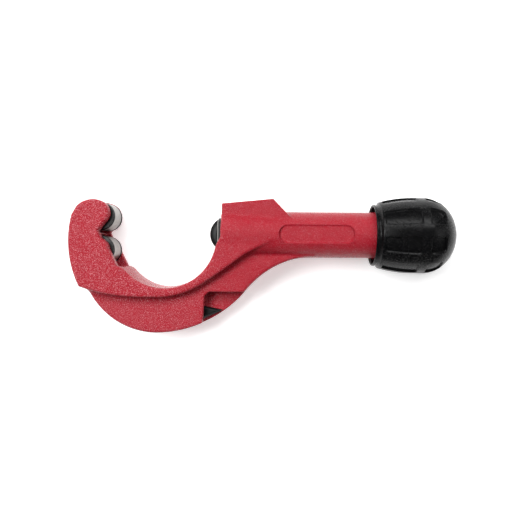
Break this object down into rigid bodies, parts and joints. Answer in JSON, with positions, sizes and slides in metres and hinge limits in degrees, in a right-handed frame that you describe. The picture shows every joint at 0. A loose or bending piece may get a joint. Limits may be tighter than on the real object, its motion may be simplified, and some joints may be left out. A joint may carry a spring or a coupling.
{
  "type": "pipe cutter",
  "caption": "Enclosed-feed pipe cutter: C-shaped frame with two rollers, a cutter wheel on a sliding fork fed by a hollow end knob, and a folding deburring blade.",
  "frame": {"origin": "under the middle of the tool's outline, at the lowest level of the knob it rests on", "axes": "+X along the feed screw from the hook to the knob, +Y from the web to the fin, +Z square to the flat of the frame"},
  "size_m": [0.1702, 0.0612, 0.0334],
  "materials": {
    "red_powder_coat": "satin, finely grained powder coat",
    "ground_steel": "ground",
    "black_oxide_steel": "black oxide, satin",
    "tool_steel": "blackened, ground edge",
    "brass": "machined",
    "black_plastic": "moulded, fine grain",
    "zinc_plated_steel": "bright zinc plate"
  },
  "bodies": {
    "cutter_frame": {"frame": "red_powder_coat", "upper_roller_pin": "ground_steel", "lower_roller_pin": "ground_steel", "front_thrust_washer": "brass", "rear_thrust_washer": "brass", "end_bush": "zinc_plated_steel", "bush_lock_screw": "black_oxide_steel", "blade_pivot_screw": "black_oxide_steel", "blade_wave_washer": "ground_steel"},
    "cutter_slide": {"slide": "black_oxide_steel", "feed_nut": "brass", "wheel_axle_screw": "black_oxide_steel"},
    "wheel": {"cutter_wheel": "tool_steel"},
    "upper_roll": {"upper_roller": "ground_steel"},
    "lower_roll": {"lower_roller": "ground_steel"},
    "feed_knob": {"knob": "black_plastic", "knob_drive_insert": "brass", "knob_washer": "zinc_plated_steel", "knob_screw": "zinc_plated_steel", "feed_screw": "zinc_plated_steel"},
    "blade": {"deburring_blade": "tool_steel"}
  },
  "joints": [
    {"name": "knob_turn", "type": "hinge", "parent": "cutter_frame", "child": "feed_knob", "pos_m": [0.0725, 0.0139, 0.0167], "axis": [-1, 0, 0], "range_deg": [0, 7200]},
    {"name": "slide_feed", "type": "slide", "parent": "cutter_frame", "child": "cutter_slide", "axis": [-1, 0, 0], "range_m": [0, 0.04]},
    {"name": "cutter_wheel_spin", "type": "hinge", "parent": "cutter_slide", "child": "wheel", "pos_m": [-0.0154, 0.0139, 0.0167], "axis": [0, 0, 1], "continuous": true},
    {"name": "upper_roller_spin", "type": "hinge", "parent": "cutter_frame", "child": "upper_roll", "pos_m": [-0.0718, 0.0214, 0.0167], "axis": [0, 0, 1], "continuous": true},
    {"name": "lower_roller_spin", "type": "hinge", "parent": "cutter_frame", "child": "lower_roll", "pos_m": [-0.0718, 0.0064, 0.0167], "axis": [0, 0, 1], "continuous": true},
    {"name": "blade_fold", "type": "hinge", "parent": "cutter_frame", "child": "blade", "pos_m": [-0.0555, -0.0216, 0.0167], "axis": [0, 0, -1], "range_deg": [0, 135]}
  ],
  "couplings": [
    {"joint": "slide_feed", "follows": "knob_turn", "m_per_rad": 0.0003183}
  ]
}
